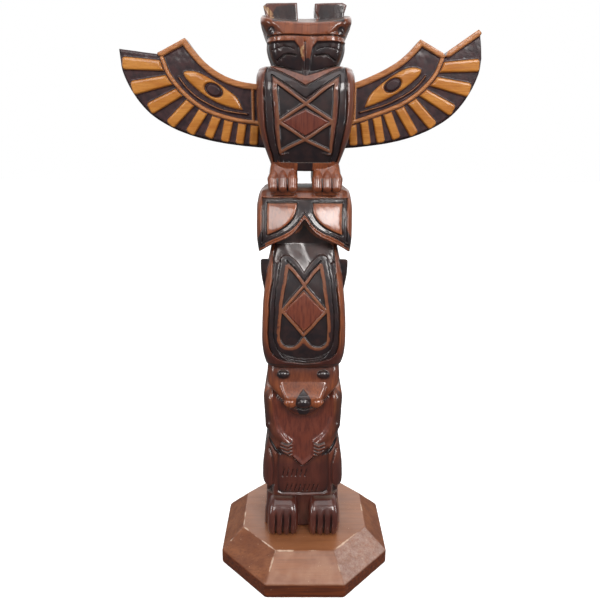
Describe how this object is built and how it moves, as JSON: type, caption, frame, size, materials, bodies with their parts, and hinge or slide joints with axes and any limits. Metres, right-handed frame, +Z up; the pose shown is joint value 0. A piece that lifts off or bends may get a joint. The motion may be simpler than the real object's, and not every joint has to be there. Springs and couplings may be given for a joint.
{
  "type": "totem pole",
  "caption": "Small carved wooden totem pole: a winged thunderbird above a whale and a seated bear, on a bevelled octagonal base.",
  "frame": {"origin": "middle of the base's underside", "axes": "+Z up along the pole, -Y out of the carved front, +X to the right seen from the front"},
  "size_m": [0.3328, 0.18, 0.5586],
  "materials": {
    "base_wood": "worn satin stain on softwood",
    "pole_wood": "glossy lacquer over brown and black stain",
    "wing_wood": "lacquered golden wood with black stained grooves"
  },
  "bodies": {
    "root": {"base": "base_wood", "carved_pole": "pole_wood", "left_wing": "wing_wood", "right_wing": "wing_wood"}
  },
  "joints": []
}
